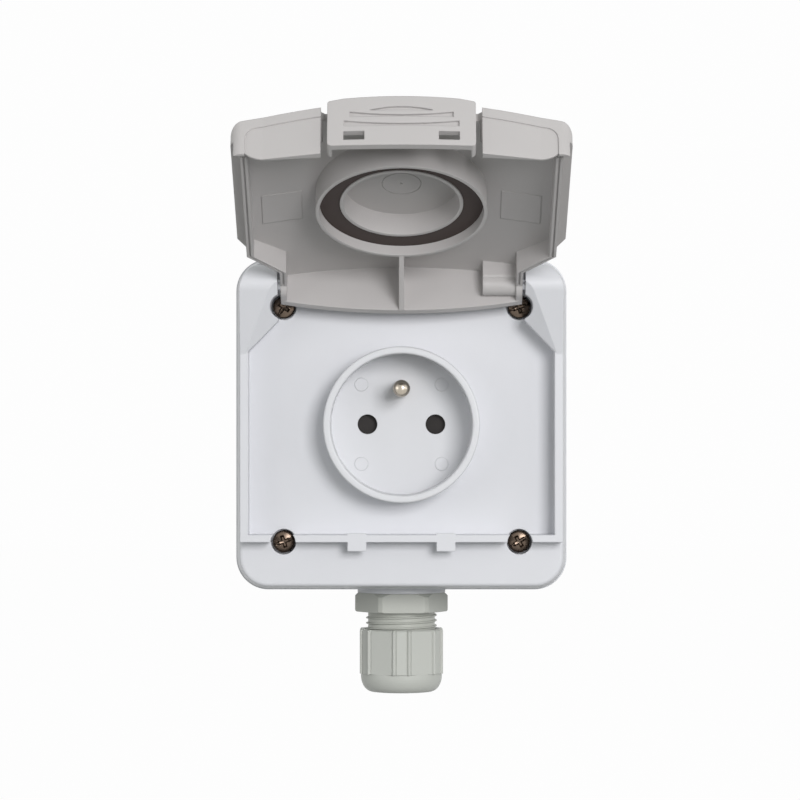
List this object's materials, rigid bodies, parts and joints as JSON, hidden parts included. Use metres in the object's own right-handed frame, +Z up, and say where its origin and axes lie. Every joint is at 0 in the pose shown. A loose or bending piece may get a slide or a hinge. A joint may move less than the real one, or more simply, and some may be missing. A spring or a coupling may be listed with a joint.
{
  "type": "surface-mounted weatherproof charging socket",
  "caption": "Square wall-mounted household socket with a hinged, gasketed lid standing open, round plug well with earth pin, and a cable gland underneath.",
  "frame": {"origin": "centre of the rear wall face, on the axis of the plug well", "axes": "+X right seen from the front, +Y into the wall, +Z up"},
  "size_m": [0.0924, 0.1218, 0.1617],
  "materials": {
    "body_plastic": "fine satin moulding, very light cool grey",
    "well_plastic": "satin moulding, very light cool grey",
    "lid_plastic": "satin moulding, warm mid grey",
    "gland_plastic": "satin polyamide, grey",
    "inner_plastic": "matt moulding, off white",
    "shutter_plastic": "matt moulding, dark grey",
    "lid_rubber": "matt rubber, dark brown grey",
    "seal_rubber": "matt rubber, black",
    "screw_metal": "dark bronze plating",
    "pin_metal": "nickel plating",
    "contact_metal": "bright brass",
    "steel": "zinc plated"
  },
  "bodies": {
    "housing": {"wall_box": "body_plastic", "front_cover": "body_plastic", "socket_well": "well_plastic", "box_seal": "seal_rubber", "cover_screws": "screw_metal", "screw_seals": "seal_rubber", "contact_carrier": "inner_plastic", "carrier_back_plate": "inner_plastic", "carrier_screws": "steel", "live_contact": "contact_metal", "neutral_contact": "contact_metal", "earth_strap": "contact_metal", "earth_pin": "pin_metal", "terminal_screws": "steel", "shutter_spring": "steel", "hinge_pins": "steel", "gland_body": "gland_plastic", "gland_washer": "seal_rubber", "gland_locknut": "gland_plastic"},
    "shutter": {"shutter": "shutter_plastic"},
    "lid": {"lid_shell": "lid_plastic", "lid_gasket": "lid_rubber"},
    "gland_sleeve": {"gland_seal_sleeve": "seal_rubber"},
    "dome_nut": {"dome_nut": "gland_plastic"}
  },
  "joints": [
    {"name": "lid_hinge", "type": "hinge", "parent": "housing", "child": "lid", "pos_m": [0, -0.052, 0.0385], "axis": [1, 0, 0], "range_deg": [0, 118.8]},
    {"name": "shutter_slide", "type": "slide", "parent": "housing", "child": "shutter", "axis": [0, 0, -1], "range_m": [0, 0.006], "stiffness_N_per_m": 150, "springref_m": -0.002, "deforming": ["shutter_spring"]},
    {"name": "gland_slide", "type": "slide", "parent": "housing", "child": "gland_sleeve", "axis": [0, 0, 1], "range_m": [0, 0.0045]},
    {"name": "dome_nut_turn", "type": "hinge", "parent": "gland_sleeve", "child": "dome_nut", "pos_m": [0, -0.019, -0.067], "axis": [0, 0, 1], "range_deg": [0, 1104]}
  ],
  "couplings": [
    {"joint": "dome_nut_turn", "follows": "gland_slide", "rad_per_m": 4188.8}
  ]
}
